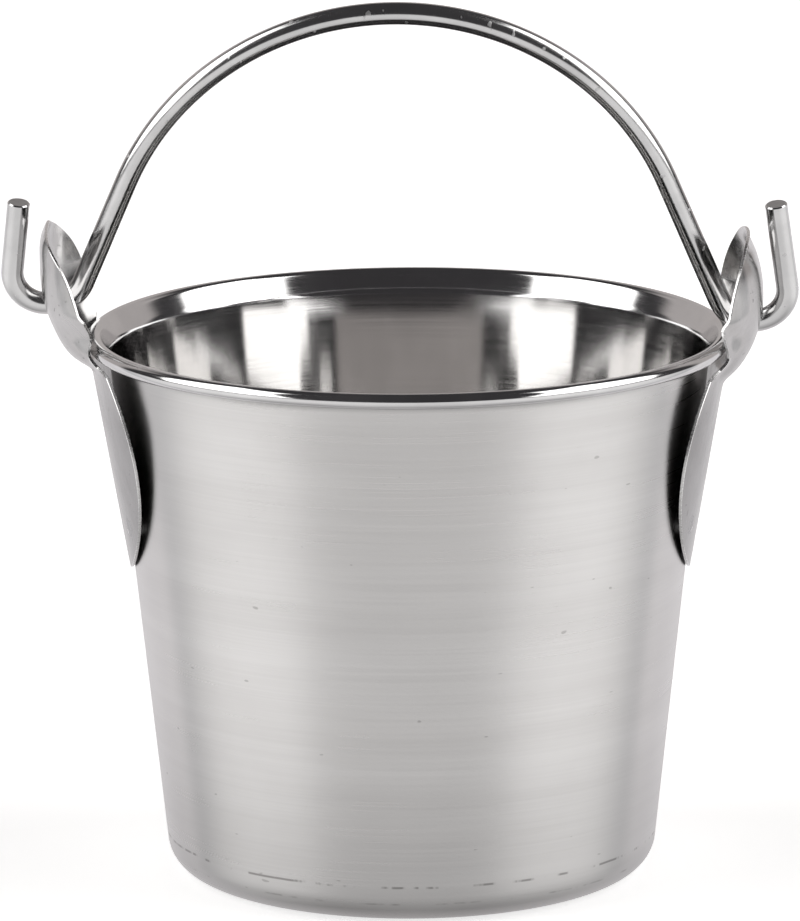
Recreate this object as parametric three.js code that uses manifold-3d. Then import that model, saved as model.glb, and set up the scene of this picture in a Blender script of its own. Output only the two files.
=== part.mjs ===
// A small stainless steel milk pail: a seamless drawn shell with a curled rim, two pressed sheet
// ears spot-welded to its wall, and one bent wire bail that swings in the ears' holes.
// Millimetres, +Z up. The origin is the centre of the base, on the surface the pail stands on.
// The ears stand at -X (left) and +X (right); the front of the pail looks along -Y.
import * as THREE from 'three';
import { mergeVertices } from 'three/addons/utils/BufferGeometryUtils.js';
import Module from 'manifold-3d';

const wasm = await Module();
wasm.setup();

// ---------------------------------------------------------------- driving dimensions
const HEIGHT = 133;            // rim above the resting surface
const RIM_RADIUS = 78;         // outermost radius, over the curled rim
const SHELL_SHEET = 0.6;       // thickness of the drawn shell
const FOOT_RADIUS = 58.8;      // outer wall line, extended down to the resting surface
const MOUTH_RADIUS = 73.15;    // outer wall line, extended up to the rim's height
const BEAD_RADIUS = 1.9;       // section of the curled rim
const BEAD_END_ANGLE = -140;   // where the curl stops, short of the wall it turns back to
const BEAD_STEPS = 9;          // facets round the curl
const LIP_HEIGHT = 5;          // flared lip between the ridge inside the mouth and the rim
const HEEL_RADIUS = 8.3;       // large bend from the wall into the base
const SOLE_RADIUS = 3.7;       // small bend from the large one onto the flat of the base
const HEEL_ANGLE = -72;        // where the two bends meet
const HEEL_STEPS = 6;          // facets along the large bend
const SOLE_STEPS = 2;          // facets along the small bend
const SHELL_SEGMENTS = 60;     // facets around the shell

const EAR_SHEET = 0.8;         // thickness of the pressed ears
const WALL_GAP = 0.3;          // between an ear's lower tip and the wall
const RIM_GAP = 0.5;           // between an ear's neck and the rim beside it
const NECK_WIDTH = 40;         // ear's narrowest width, beside the rim
const DISH_WIDTH = 52;         // ear's widest width, across the dish
const DISH_DEPTH = 8.8;        // the dish's side edges lie this far inside its middle line
const NECK_DEPTH = 14.5;       // the same by the neck, where the edges hug the pail's rim
const NECK_FADE = [3, 11];     // above the neck, the heights where one depth gives way to the other
const DOME_POWER = 2.4;        // the dish's outline is an ellipse made a little squarer
const DOME_STEPS = 28;         // facets round the dish's outline
const DISH_POWER = 2.7;        // the dish is flat in the middle and turns in towards its edges
const CREASE_BLEND = 0.7;      // softness of the crease between tongue and dish
const NECK_EASE = [1, 2];      // the outline's curve leaves the neck this far out and up
const SHOULDER_EASE = [1, 1.4]; // a shoulder's corner is this far out from the neck and up
const EAR_HALF_SPAN = 35;      // half the width of the sheet that the ear is cut from
const EAR_COLUMNS = 20;        // facets across the ear's sheet
const DISH_ROWS = 14;          // facets up the dish
const TONGUE_ROWS = 6;         // facets up the tongue
const TONGUE_MARGIN = 1.5;     // the uncut sheet reaches this far below the tongue's tip
const TONGUE_SEGMENTS = 14;    // facets round the tongue's outline
const HOLE_SEGMENTS = 12;      // half the facets round the pivot hole
const EAR_CUT_FROM = 50;       // the outline's cut starts this far from the pail's axis
const EAR_CUT_DEPTH = 60;      // and is this deep

const WELD_RADIUS = 2.4;       // weld nugget between tongue and wall
const WELD_CLEARANCE = 0.35;   // between a nugget and the tongue's hole around it
const WELD_PROUD = 0.15;       // a nugget stands this far out of the tongue
const WELD_CUT_EXTRA = 2;      // the tongue's holes are cut this much past both faces
const WELD_SEGMENTS = 16;      // facets round a nugget

const WIRE_RADIUS = 2.78;      // 7/32 inch bail wire
const HOLE_RADIUS = 4.1;       // pivot hole in each ear
const WIRE_DROP = 1;           // the wire lies this far below the middle of its hole
const BAIL_SHIFT = -2.9;       // the bail was bent slightly off the pail's axis
const ARCH_RADIUS = 70.3;      // wire centre line over the top
const ARCH_HALF_ANGLE = 67.5;  // the arch runs this far down each side
const ELBOW_RADIUS = 8.8;      // bend from a leg into its pivot
const HOOK_RADIUS = 8;         // bend from a pivot into its upturned hook
const ARCH_TOP = 214.3;        // wire centre line at the top, with the bail upright
const BAIL_LEAN = 12;          // the bail at rest leans towards the front
const WIRE_SIDES = 12;         // facets round the wire
const WIRE_STEP = 2.6;         // facet length along the wire

// The two ears were pressed and set by hand, and so were the bail's ends, so each side has its
// own measures. Heights are above the resting surface, and hookHeight is above the pivot. dish
// lists the outside of the dish on the ear's middle line, from its root up to its lip, as
// distances from the pail's axis and heights.
const LEFT = {
  name: 'left', side: -1, tongueCentre: 107.6, tongueRadius: 32.5, shoulder: 126.4, neck: 130.6,
  dishCentre: 139.5, dishRise: 19.4, crease: [77, 126.2],
  dish: [
    [75.2, 124.6], [82.3, 128.8], [86.4, 136], [88.5, 144], [88.9, 151], [88.6, 156.4], [86.4, 160.6],
  ],
  pivotHeight: 139.6, hookReach: 92.7, hookLean: 6.4, hookHeight: 26.4,
};
const RIGHT = {
  name: 'right', side: 1, tongueCentre: 106.6, tongueRadius: 32, shoulder: 124.8, neck: 129.2,
  dishCentre: 136.8, dishRise: 19.7, crease: [75.9, 120.6],
  dish: [[73.6, 119.2], [80.2, 125], [84.2, 133], [85.4, 142], [84.1, 150.5], [80.2, 158]],
  pivotHeight: 134.4, hookReach: 94.2, hookLean: 8, hookHeight: 30.5,
};

// Where the nuggets are: across the ear, seen from outside with the left hand negative, and height.
const WELD_PLACES = {
  lower_weld: [0, 80.5],
  left_hand_weld: [-19.5, 88.5],
  right_hand_weld: [19.5, 88.5],
};

const STEEL = { color: 0xc9cacc, metalness: 1 };
const ROUGHNESS = { shell: 0.35, ear: 0.25, weld: 0.4, bail: 0.25 };

const MERGE_DISTANCE = 1e-4;   // points closer than this are one point

// ---------------------------------------------------------------- helpers
const rad = THREE.MathUtils.degToRad;

function arc(x, y, radius, from, to, steps) {
  return Array.from({ length: steps + 1 }, (_, i) => {
    const a = rad(from + ((to - from) * i) / steps);
    return new THREE.Vector2(x + radius * Math.cos(a), y + radius * Math.sin(a));
  });
}

function steel(name, geometry, roughness) {
  const mesh = new THREE.Mesh(geometry, new THREE.MeshStandardMaterial({ ...STEEL, roughness }));
  mesh.name = name;
  return mesh;
}

function toSolid(geometry) {
  const bare = geometry.clone();
  bare.deleteAttribute('normal');
  bare.deleteAttribute('uv');
  const merged = mergeVertices(bare, MERGE_DISTANCE);
  return new wasm.Manifold(new wasm.Mesh({
    numProp: 3,
    vertProperties: new Float32Array(merged.attributes.position.array),
    triVerts: new Uint32Array(merged.index.array),
  }));
}

function toGeometry(solid) {
  const { vertProperties, triVerts } = solid.getMesh();
  const geometry = new THREE.BufferGeometry();
  geometry.setAttribute('position', new THREE.BufferAttribute(vertProperties, 3));
  geometry.setIndex(new THREE.BufferAttribute(triVerts, 1));
  return geometry;
}

// ---------------------------------------------------------------- drawn shell
const WALL_SLOPE = (MOUTH_RADIUS - FOOT_RADIUS) / HEIGHT;
const WALL_TAPER = THREE.MathUtils.radToDeg(Math.atan(WALL_SLOPE));
const wallRadius = (z) => FOOT_RADIUS + WALL_SLOPE * z;

// The bend from wall to base, at a depth inside the outer surface: two arcs in line.
function heel(depth) {
  const step = HEEL_RADIUS - SOLE_RADIUS;
  const centreZ = SOLE_RADIUS - step * Math.sin(rad(HEEL_ANGLE));
  const centreR = wallRadius(centreZ) - HEEL_RADIUS / Math.cos(rad(WALL_TAPER));
  const soleR = centreR + step * Math.cos(rad(HEEL_ANGLE));
  return [
    ...arc(soleR, SOLE_RADIUS, SOLE_RADIUS - depth, -90, HEEL_ANGLE, SOLE_STEPS),
    ...arc(centreR, centreZ, HEEL_RADIUS - depth, HEEL_ANGLE, -WALL_TAPER, HEEL_STEPS).slice(1),
  ];
}

// The lip runs straight from the ridge inside the mouth onto the curl, which turns outwards and
// down and stops short of the wall, so the curl is open underneath.
function rim() {
  const centre = new THREE.Vector2(RIM_RADIUS - BEAD_RADIUS, HEIGHT - BEAD_RADIUS);
  const ridgeZ = HEIGHT - LIP_HEIGHT;
  const ridge = new THREE.Vector2(wallRadius(ridgeZ) - SHELL_SHEET / Math.cos(rad(WALL_TAPER)), ridgeZ);
  const run = centre.clone().sub(ridge);
  const lipAngle = run.angle() + Math.asin(BEAD_RADIUS / run.length());
  const startAngle = THREE.MathUtils.radToDeg(lipAngle) + 90;
  const curl = (radius) => arc(centre.x, centre.y, radius, startAngle, BEAD_END_ANGLE, BEAD_STEPS);
  const inside = curl(BEAD_RADIUS);
  const outside = curl(BEAD_RADIUS - SHELL_SHEET);
  const start = outside[0];
  const direction = new THREE.Vector2(Math.cos(lipAngle), Math.sin(lipAngle));
  const travel = (wallRadius(start.y) - start.x) / (direction.x - WALL_SLOPE * direction.y);
  const corner = start.clone().addScaledVector(direction, travel);
  return { ridge, corner, inside, outside };
}

function shellGeometry() {
  const { ridge, corner, inside, outside } = rim();
  const profile = [
    new THREE.Vector2(0, 0),
    ...heel(0),
    corner,
    ...outside,
    ...inside.reverse(),
    ridge,
    ...heel(SHELL_SHEET).reverse(),
    new THREE.Vector2(0, SHELL_SHEET),
  ];
  return new THREE.LatheGeometry(profile, SHELL_SEGMENTS).rotateX(Math.PI / 2);
}

// ---------------------------------------------------------------- ears
// Distance from the pail's axis to the outside of the tongue, on the ear's middle line.
function tongueRadius(ear, z) {
  const tipZ = ear.tongueCentre - ear.tongueRadius;
  const tipR = wallRadius(tipZ) + WALL_GAP + EAR_SHEET;
  return tipR + ((ear.crease[0] - tipR) * (z - tipZ)) / (ear.crease[1] - tipZ);
}

// The sheet wraps round the pail. From the shoulders up to the neck it moves out to clear the rim.
function wrapRadius(ear, z) {
  const tongue = tongueRadius(ear, z);
  const clear = Math.max(tongue, RIM_RADIUS + RIM_GAP + EAR_SHEET);
  return THREE.MathUtils.lerp(tongue, clear, THREE.MathUtils.smoothstep(z, ear.shoulder, ear.neck));
}

// Outer surface of the ear's sheet: the wrapped sheet, or the dish where that stands further out.
function earSurface(ear, row, y) {
  const wrapped = Math.sqrt(wrapRadius(ear, row.z) ** 2 - y * y);
  if (row.dish === undefined) return wrapped;
  const fade = THREE.MathUtils.smoothstep(row.z - ear.neck, ...NECK_FADE);
  const depth = THREE.MathUtils.lerp(NECK_DEPTH, DISH_DEPTH, fade);
  const dished = row.dish - depth * Math.abs((2 * y) / DISH_WIDTH) ** DISH_POWER;
  return (wrapped + dished + Math.hypot(wrapped - dished, CREASE_BLEND)) / 2;
}

function earRows(ear) {
  const points = ear.dish.map(([x, z]) => new THREE.Vector2(x, z));
  const dish = new THREE.SplineCurve(points).getSpacedPoints(DISH_ROWS);
  const bottom = ear.tongueCentre - ear.tongueRadius - TONGUE_MARGIN;
  const tongue = Array.from({ length: TONGUE_ROWS }, (_, i) => (
    { z: bottom + ((dish[0].y - bottom) * i) / TONGUE_ROWS }
  ));
  return [...tongue, ...dish.map((p) => ({ z: p.y, dish: p.x }))];
}

// The sheet before it is cut to its outline: a grid of outer points, the same points set in by
// the sheet's thickness, and a wall of triangles round the border.
function earSheet(ear) {
  const rows = earRows(ear);
  const outer = rows.map((row) => Array.from({ length: EAR_COLUMNS + 1 }, (_, j) => {
    const y = -EAR_HALF_SPAN + (2 * EAR_HALF_SPAN * j) / EAR_COLUMNS;
    return new THREE.Vector3(earSurface(ear, row, y), y, row.z);
  }));
  const inner = outer.map((line, i) => line.map((point, j) => {
    const up = outer[Math.min(i + 1, rows.length - 1)][j].clone().sub(outer[Math.max(i - 1, 0)][j]);
    const across = line[Math.min(j + 1, EAR_COLUMNS)].clone().sub(line[Math.max(j - 1, 0)]);
    return point.clone().addScaledVector(across.cross(up).normalize(), -EAR_SHEET);
  }));
  const columns = EAR_COLUMNS + 1;
  const count = rows.length * columns;
  const index = [];
  const quad = (a, b, c, d) => index.push(a, b, c, a, c, d);
  const at = (i, j) => i * columns + j;
  for (let i = 0; i < rows.length - 1; i += 1) {
    for (let j = 0; j < EAR_COLUMNS; j += 1) {
      const [a, b, c, d] = [at(i, j), at(i, j + 1), at(i + 1, j + 1), at(i + 1, j)];
      quad(a, b, c, d);
      quad(a + count, d + count, c + count, b + count);
    }
    quad(at(i, 0), at(i + 1, 0), at(i + 1, 0) + count, at(i, 0) + count);
    const [a, b] = [at(i, EAR_COLUMNS), at(i + 1, EAR_COLUMNS)];
    quad(a, a + count, b + count, b);
  }
  for (let j = 0; j < EAR_COLUMNS; j += 1) {
    quad(at(0, j), at(0, j) + count, at(0, j + 1) + count, at(0, j + 1));
    const [a, b] = [at(rows.length - 1, j), at(rows.length - 1, j + 1)];
    quad(a, b, b + count, a + count);
  }
  const geometry = new THREE.BufferGeometry();
  geometry.setFromPoints([...outer.flat(), ...inner.flat()]);
  geometry.setIndex(index);
  return geometry;
}

// The ear's outline seen square on: a round tongue with two shoulders, a neck, a domed dish.
function earOutline(ear) {
  const shoulder = Math.asin((ear.shoulder - ear.tongueCentre) / ear.tongueRadius);
  const neck = NECK_WIDTH / 2;
  const easeY = neck + NECK_EASE[0];
  const easeZ = ear.neck + NECK_EASE[1];
  const cornerY = neck + SHOULDER_EASE[0];
  const cornerZ = ear.shoulder + SHOULDER_EASE[1];
  const shape = new THREE.Shape(domePoints(ear));
  shape.quadraticCurveTo(-easeY, easeZ, -neck, ear.neck);
  shape.lineTo(-cornerY, cornerZ);
  shape.absarc(0, ear.tongueCentre, ear.tongueRadius, Math.PI - shoulder, 2 * Math.PI + shoulder, false);
  shape.lineTo(cornerY, cornerZ);
  shape.lineTo(neck, ear.neck);
  shape.quadraticCurveTo(easeY, easeZ, DISH_WIDTH / 2, ear.dishCentre);
  return shape;
}

// The upper edge of the dish, from its right side over the top to its left side.
function domePoints(ear) {
  return Array.from({ length: DOME_STEPS + 1 }, (_, i) => {
    const a = (Math.PI * i) / DOME_STEPS;
    const reach = Math.sign(Math.cos(a)) * Math.abs(Math.cos(a)) ** (2 / DOME_POWER);
    const rise = Math.abs(Math.sin(a)) ** (2 / DOME_POWER);
    return new THREE.Vector2((reach * DISH_WIDTH) / 2, ear.dishCentre + rise * ear.dishRise);
  });
}

// Turns an outline drawn across the ear and upwards into a prism along +X.
function earCutter(shape, curveSegments) {
  const geometry = new THREE.ExtrudeGeometry(shape, {
    depth: EAR_CUT_DEPTH, bevelEnabled: false, curveSegments,
  });
  const axes = new THREE.Matrix4().makeBasis(
    new THREE.Vector3(0, 1, 0), new THREE.Vector3(0, 0, 1), new THREE.Vector3(1, 0, 0),
  );
  return toSolid(geometry.applyMatrix4(axes).translate(EAR_CUT_FROM, 0, 0));
}

function disc(y, z, radius) {
  return new THREE.Shape().absarc(y, z, radius, 0, 2 * Math.PI, false);
}

// Every ear is built on the +X side; the left one is turned half round the pail's axis.
function earGeometry(ear) {
  let solid = toSolid(earSheet(ear)).intersect(earCutter(earOutline(ear), TONGUE_SEGMENTS));
  const pivotHole = disc(0, ear.pivotHeight + WIRE_DROP, HOLE_RADIUS);
  solid = solid.subtract(earCutter(pivotHole, HOLE_SEGMENTS));
  for (const place of Object.values(WELD_PLACES)) {
    const hole = weldRod(ear, place, WELD_RADIUS + WELD_CLEARANCE, WELD_CUT_EXTRA);
    solid = solid.subtract(toSolid(hole));
  }
  return toGeometry(solid);
}

// ---------------------------------------------------------------- weld nuggets
// A rod square to the wall, from just off the wall to just proud of the tongue, or longer by
// an extra amount at each end.
function weldRod(ear, [y, z], radius, extra) {
  const inner = wallRadius(z) + WALL_GAP - extra;
  const outer = tongueRadius(ear, z) + WELD_PROUD + extra;
  return new THREE.CylinderGeometry(radius, radius, outer - inner, WELD_SEGMENTS)
    .rotateZ(-Math.PI / 2)
    .translate((inner + outer) / 2, 0, 0)
    .rotateZ(Math.asin(y / wallRadius(z)))
    .translate(0, 0, z);
}

function earGroup(ear) {
  const group = new THREE.Group();
  group.add(steel(`${ear.name}_ear`, earGeometry(ear), ROUGHNESS.ear));
  for (const [name, place] of Object.entries(WELD_PLACES)) {
    group.add(steel(`${ear.name}_ear_${name}`, weldRod(ear, place, WELD_RADIUS, 0), ROUGHNESS.weld));
  }
  if (ear.side < 0) group.rotation.z = Math.PI;
  return group;
}

// ---------------------------------------------------------------- bail
// A wire path drawn like a bending job: straight runs and bends in one plane.
class WirePath extends THREE.CurvePath {
  constructor(x, z, heading) {
    super();
    this.end = new THREE.Vector2(x, z);
    this.heading = heading;
  }

  straight(length) {
    const start = this.end.clone();
    this.end.x += length * Math.cos(rad(this.heading));
    this.end.y += length * Math.sin(rad(this.heading));
    this.curves.push(new THREE.LineCurve3(
      new THREE.Vector3(start.x, 0, start.y), new THREE.Vector3(this.end.x, 0, this.end.y),
    ));
    return this;
  }

  // A positive turn is anticlockwise.
  bend(radius, turn) {
    const side = Math.sign(turn);
    const start = this.heading - 90 * side;
    const centreX = this.end.x - radius * Math.cos(rad(start));
    const centreZ = this.end.y - radius * Math.sin(rad(start));
    this.curves.push(new ArcCurve(centreX, centreZ, radius, start, start + turn));
    this.end.set(
      centreX + radius * Math.cos(rad(start + turn)), centreZ + radius * Math.sin(rad(start + turn)),
    );
    this.heading += turn;
    return this;
  }
}

class ArcCurve extends THREE.Curve {
  constructor(x, z, radius, from, to) {
    super();
    Object.assign(this, { x, z, radius, from, to });
  }

  getPoint(t, target = new THREE.Vector3()) {
    const a = rad(this.from + (this.to - this.from) * t);
    return target.set(this.x + this.radius * Math.cos(a), 0, this.z + this.radius * Math.sin(a));
  }
}

const LEG_SLOPE = 90 - ARCH_HALF_ANGLE;      // the legs spread this far from upright

// Straight run of a leg that brings the elbow down to the pivot's height.
function legLength(ear) {
  const archEnd = ARCH_TOP - ARCH_RADIUS * (1 - Math.cos(rad(ARCH_HALF_ANGLE)));
  const elbowDrop = ELBOW_RADIUS * (1 - Math.sin(rad(LEG_SLOPE)));
  return (archEnd - elbowDrop - ear.pivotHeight) / Math.cos(rad(LEG_SLOPE));
}

// Straight run between the elbow and the hook, where the wire sits in the ear's hole.
function pivotLength(ear) {
  const archEnd = ARCH_RADIUS * Math.sin(rad(ARCH_HALF_ANGLE));
  const legEnd = archEnd + legLength(ear) * Math.sin(rad(LEG_SLOPE));
  return ear.hookReach - HOOK_RADIUS - legEnd - ELBOW_RADIUS * Math.cos(rad(LEG_SLOPE));
}

// Straight run of a hook above its bend.
function hookLength(ear) {
  const rise = HOOK_RADIUS * (1 + Math.sin(rad(ear.hookLean)));
  return (ear.hookHeight - rise) / Math.cos(rad(ear.hookLean));
}

// From the tip of the left hook, down, over the arch and up to the tip of the right hook.
function wirePath() {
  const lean = LEFT.hookLean;
  const bottomX = BAIL_SHIFT - LEFT.hookReach + HOOK_RADIUS * (1 - Math.cos(rad(lean)));
  const tipX = bottomX + hookLength(LEFT) * Math.sin(rad(lean));
  return new WirePath(tipX, LEFT.pivotHeight + LEFT.hookHeight, -90 - lean)
    .straight(hookLength(LEFT))
    .bend(HOOK_RADIUS, 90 + lean)
    .straight(pivotLength(LEFT))
    .bend(ELBOW_RADIUS, ARCH_HALF_ANGLE)
    .straight(legLength(LEFT))
    .bend(ARCH_RADIUS, -2 * ARCH_HALF_ANGLE)
    .straight(legLength(RIGHT))
    .bend(ELBOW_RADIUS, ARCH_HALF_ANGLE)
    .straight(pivotLength(RIGHT))
    .bend(HOOK_RADIUS, 90 + RIGHT.hookLean)
    .straight(hookLength(RIGHT));
}

// The bail turns about the line through the middles of the two holes, which stand at different
// heights, so the wire rides up in its holes as the bail folds down.
function bailGroup() {
  const path = wirePath();
  const section = disc(0, 0, WIRE_RADIUS);
  const geometry = new THREE.ExtrudeGeometry(section, {
    steps: Math.round(path.getLength() / WIRE_STEP),
    curveSegments: WIRE_SIDES / 2,
    extrudePath: path,
  });
  const pivot = new THREE.Vector3(BAIL_SHIFT - LEFT.hookReach, 0, LEFT.pivotHeight + WIRE_DROP);
  const far = new THREE.Vector3(BAIL_SHIFT + RIGHT.hookReach, 0, RIGHT.pivotHeight + WIRE_DROP);
  const group = new THREE.Group();
  group.position.copy(pivot);
  group.quaternion.setFromAxisAngle(far.sub(pivot).normalize(), rad(BAIL_LEAN));
  group.add(steel('bail', geometry.translate(-pivot.x, -pivot.y, -pivot.z), ROUGHNESS.bail));
  return group;
}

// ---------------------------------------------------------------- assembly
const pail = new THREE.Group();
pail.add(steel('pail_shell', shellGeometry(), ROUGHNESS.shell));
pail.add(earGroup(LEFT), earGroup(RIGHT));
pail.add(bailGroup());

export default pail;
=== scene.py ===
"""A small stainless steel milk pail: satin shell, pressed ears, spot welds and a wire bail.

Metres, +Z up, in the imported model's frame: the origin is the centre of the base, the ears stand
at -X and +X, and the front looks along -Y. The part's sizes below are in millimetres, and its
angles in degrees.
"""
import math

import bpy
import numpy as np
from mathutils import Matrix, Vector
from mathutils.geometry import delaunay_2d_cdt


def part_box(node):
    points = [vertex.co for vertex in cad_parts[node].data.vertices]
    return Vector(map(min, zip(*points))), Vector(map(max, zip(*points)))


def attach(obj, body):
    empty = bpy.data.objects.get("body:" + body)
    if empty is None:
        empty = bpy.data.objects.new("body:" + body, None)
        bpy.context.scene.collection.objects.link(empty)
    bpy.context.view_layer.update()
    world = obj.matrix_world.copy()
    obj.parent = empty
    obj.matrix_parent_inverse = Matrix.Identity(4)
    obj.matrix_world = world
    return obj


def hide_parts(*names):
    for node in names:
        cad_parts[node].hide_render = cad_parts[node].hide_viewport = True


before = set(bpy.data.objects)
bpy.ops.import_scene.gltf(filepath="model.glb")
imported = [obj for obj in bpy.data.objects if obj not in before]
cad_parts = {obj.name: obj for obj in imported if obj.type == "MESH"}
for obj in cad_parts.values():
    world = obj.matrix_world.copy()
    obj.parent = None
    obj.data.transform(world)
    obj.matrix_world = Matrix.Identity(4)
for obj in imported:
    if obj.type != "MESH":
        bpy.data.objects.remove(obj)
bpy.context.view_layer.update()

MM = 0.001

# ------------------------------------------------------------------ shell dimensions
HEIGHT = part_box("pail_shell")[1].z / MM
RIM_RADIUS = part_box("pail_shell")[1].x / MM
SHELL_SHEET = 0.6           # thickness of the drawn shell
FOOT_RADIUS = 58.8          # outer wall line, extended down to the resting surface
MOUTH_RADIUS = 73.15        # outer wall line, extended up to the rim's height
BEAD_RADIUS = 1.9           # section of the curled rim
BEAD_END_ANGLE = -140       # where the curl stops, short of the wall it turns back to
LIP_HEIGHT = 5              # flared lip between the ridge inside the mouth and the rim
HEEL_RADIUS = 8.3           # large bend from the wall into the base
SOLE_RADIUS = 3.7           # small bend from the large one onto the flat of the base
HEEL_ANGLE = -72            # where the two bends meet
RIDGE_REACH = 0.9           # the ridge's rounding starts this far from its corner
CORNER_REACH = 0.9          # the same for the corner outside it
FLARE_RISE = 0.014          # the wall's inside opens by this much per millimetre up to the ridge
FLARE_DEPTH = 34            # beginning this far below the ridge
FLARE_FADE = 60             # below this height the inside comes back to a straight line

SHELL_SEGMENTS = 288        # around the shell
SOLE_STEPS = 6              # along the section: the small bend
HEEL_STEPS = 18             # the large bend
BASE_STEPS = 12             # the flat of the base
OUTSIDE_STEPS = 40          # the wall's outside
INSIDE_STEPS = 60           # the wall's inside
RIDGE_STEPS = 10            # the ridge's rounding
CORNER_STEPS = 8            # the corner's rounding
LIP_STEPS = 6               # the lip
BEAD_STEPS = 40             # the curl

# ------------------------------------------------------------------ ear dimensions
EAR_SHEET = 0.8             # thickness of the pressed ears
WALL_GAP = 0.3              # between an ear's lower tip and the wall
RIM_GAP = 0.5               # between an ear's neck and the rim beside it
NECK_WIDTH = 40             # ear's narrowest width, beside the rim
DISH_WIDTH = 52             # ear's widest width, across the dish
DISH_DEPTH = 8.8            # the dish's side edges lie this far inside its middle line
NECK_DEPTH = 14.5           # the same by the neck, where the edges hug the pail's rim
NECK_FADE = (3, 11)         # above the neck, the heights where one depth gives way to the other
DOME_POWER = 2.4            # the dish's outline is an ellipse made a little squarer
DISH_POWER = 2.7            # the dish is flat in the middle and turns in towards its edges
DISH_ROOT_SLOPE = 3.0       # below its root, the dish's surface runs in this steeply
CREASE_BLEND = 0.7          # softness of the crease between tongue and dish
NECK_EASE = (1, 2)          # the outline's curve leaves the neck this far out and up
SHOULDER_EASE = (1, 1.4)    # a shoulder's corner is this far out from the neck and up
EDGE_ROUND = 0.12           # easing of the sheet's cut edges

EAR_GRID = 0.9              # spacing of the points inside an ear's outline
ROW_RATIO = 0.866           # rows of the grid stand this much closer than its columns
GRID_CLEARANCE = 0.55       # grid points stay this share of the spacing from the outline
EDGE_STEP = 0.6             # longest side along the outline
NORMAL_STEP = 0.05          # the surface's slope is measured over this distance
DISH_STEPS = 24             # between two points of the dish's middle line
DOME_STEPS = 60             # over each quarter of the dish's outline
NECK_STEPS = 16             # along the curve from dish to neck
TONGUE_STEPS = 220          # along the tongue's outline
PIVOT_HOLE_SIDES = 48
WELD_HOLE_SIDES = 32

# Middle line of each dish as (distance from the pail's axis, height). The two ears were bent by
# hand, so they differ a little.
LEFT = dict(
    name="left", side=-1, tongue_centre=107.6, tongue_radius=32.5, shoulder=126.4, neck=130.6,
    dish_centre=139.5, dish_rise=19.4, crease=(77, 126.2),
    dish=[
        (75.2, 124.6), (82.3, 128.8), (86.4, 136), (88.5, 144), (88.9, 151), (88.6, 156.4), (86.4, 160.6),
    ],
    pivot_height=139.6, hook_reach=92.7, hook_lean=6.4, hook_height=26.4,
)
RIGHT = dict(
    name="right", side=1, tongue_centre=106.6, tongue_radius=32, shoulder=124.8, neck=129.2,
    dish_centre=136.8, dish_rise=19.7, crease=(75.9, 120.6),
    dish=[(73.6, 119.2), (80.2, 125), (84.2, 133), (85.4, 142), (84.1, 150.5), (80.2, 158)],
    pivot_height=134.4, hook_reach=94.2, hook_lean=8, hook_height=30.5,
)

# ------------------------------------------------------------------ weld dimensions
WELD_RADIUS = 2.4           # weld nugget between tongue and wall
WELD_SEAM = 0.02            # between a nugget and the tongue around it
WELD_FOOT = 0.02            # a nugget stops this far short of the wall
WELD_SIDES = 40
WELD_PLACES = {             # across the tongue and up
    "lower_weld": (0, 80.5), "left_hand_weld": (-19.5, 88.5), "right_hand_weld": (19.5, 88.5),
}
# The nugget's end: (distance from its middle, height above the tongue's face).
WELD_SECTION = ((0.0, -0.06), (0.9, -0.05), (1.7, 0.0), (2.15, 0.02), (2.4, -0.02))

# ------------------------------------------------------------------ bail dimensions
WIRE_RADIUS = 2.71          # round wire that fits inside the box of the faceted one
HOLE_RADIUS = 4.1           # pivot hole in each ear
WIRE_DROP = 1               # the wire lies this far below the middle of its hole
BAIL_SHIFT = -2.9           # the bail was bent slightly off the pail's axis
ARCH_RADIUS = 70.3          # wire centre line over the top
ARCH_HALF_ANGLE = 67.5      # the arch runs this far down each side
ELBOW_RADIUS = 8.8          # bend from a leg into its pivot
HOOK_RADIUS = 8             # bend from a pivot into its upturned hook
ARCH_TOP = 214.3            # wire centre line at the top, with the bail upright
BAIL_LEAN = 12              # the bail at rest leans towards the front
WIRE_SIDES = 48
WIRE_STEP = 0.9             # ring spacing round the bends
BEND_STEPS_LEAST = 6
WIRE_CHAMFER = 0.3          # on the sawn ends

# ------------------------------------------------------------------ finishes
BRUSH_TURN = 0.25           # a quarter turn, so that highlights spread across the brushing

# Mottled steel varies between two base colours.
SATIN = (0.655, 0.648, 0.643, 1), (0.725, 0.72, 0.716, 1)
BRIGHT = (0.66, 0.655, 0.65, 1), (0.72, 0.715, 0.71, 1)
ROLLED = (0.68, 0.68, 0.685, 1), (0.75, 0.75, 0.755, 1)
PRESSED = (0.51, 0.505, 0.502, 1), (0.63, 0.626, 0.624, 1)
WELDED = (0.34, 0.34, 0.345, 1), (0.42, 0.42, 0.425, 1)
DRAWN = (0.65, 0.65, 0.655, 1), (0.73, 0.73, 0.735, 1)
SAWN = (0.6, 0.6, 0.6, 1), (0.78, 0.78, 0.78, 1)
SHEARED = (0.72, 0.72, 0.72, 1), (0.86, 0.86, 0.86, 1)
# Near black, mixed in for painted shade.
PAINTED_SHADE = (0.02, 0.02, 0.022, 1)
GRIME = (0.12, 0.115, 0.11, 1)
PIT = (0.2, 0.2, 0.2, 1)

# Painted shade, darker steel: by this amount up to the first height, and not at all above the second.
# Low on the wall, painted shade towards the floor.
WALL_PAINTED_SHADE = (4, 56, 0.22)
# At the heel, painted contact shade where the pail meets the floor.
HEEL_PAINTED_SHADE = (3, 11, 0.14)
# Over the ear's tongue, painted shade that fades out by the neck.
TONGUE_PAINTED_SHADE = (114, 134, 0.40)

# Rings of rub marks round the heel: height, half width, how many dashes, the noise level at which
# a dash begins, and strength.
SCUFF_RINGS = ((9.4, 0.16, 9, 0.46, 0.6), (5.1, 0.1, 5, 0.5, 0.35))
SCUFF_SOFT = 0.22           # soft edge of a ring
SCUFF_WANDER = 0.9          # a ring strays up and down by half of this
SCUFF_FADE = 0.09           # over this much more noise a dash comes to full strength

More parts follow.
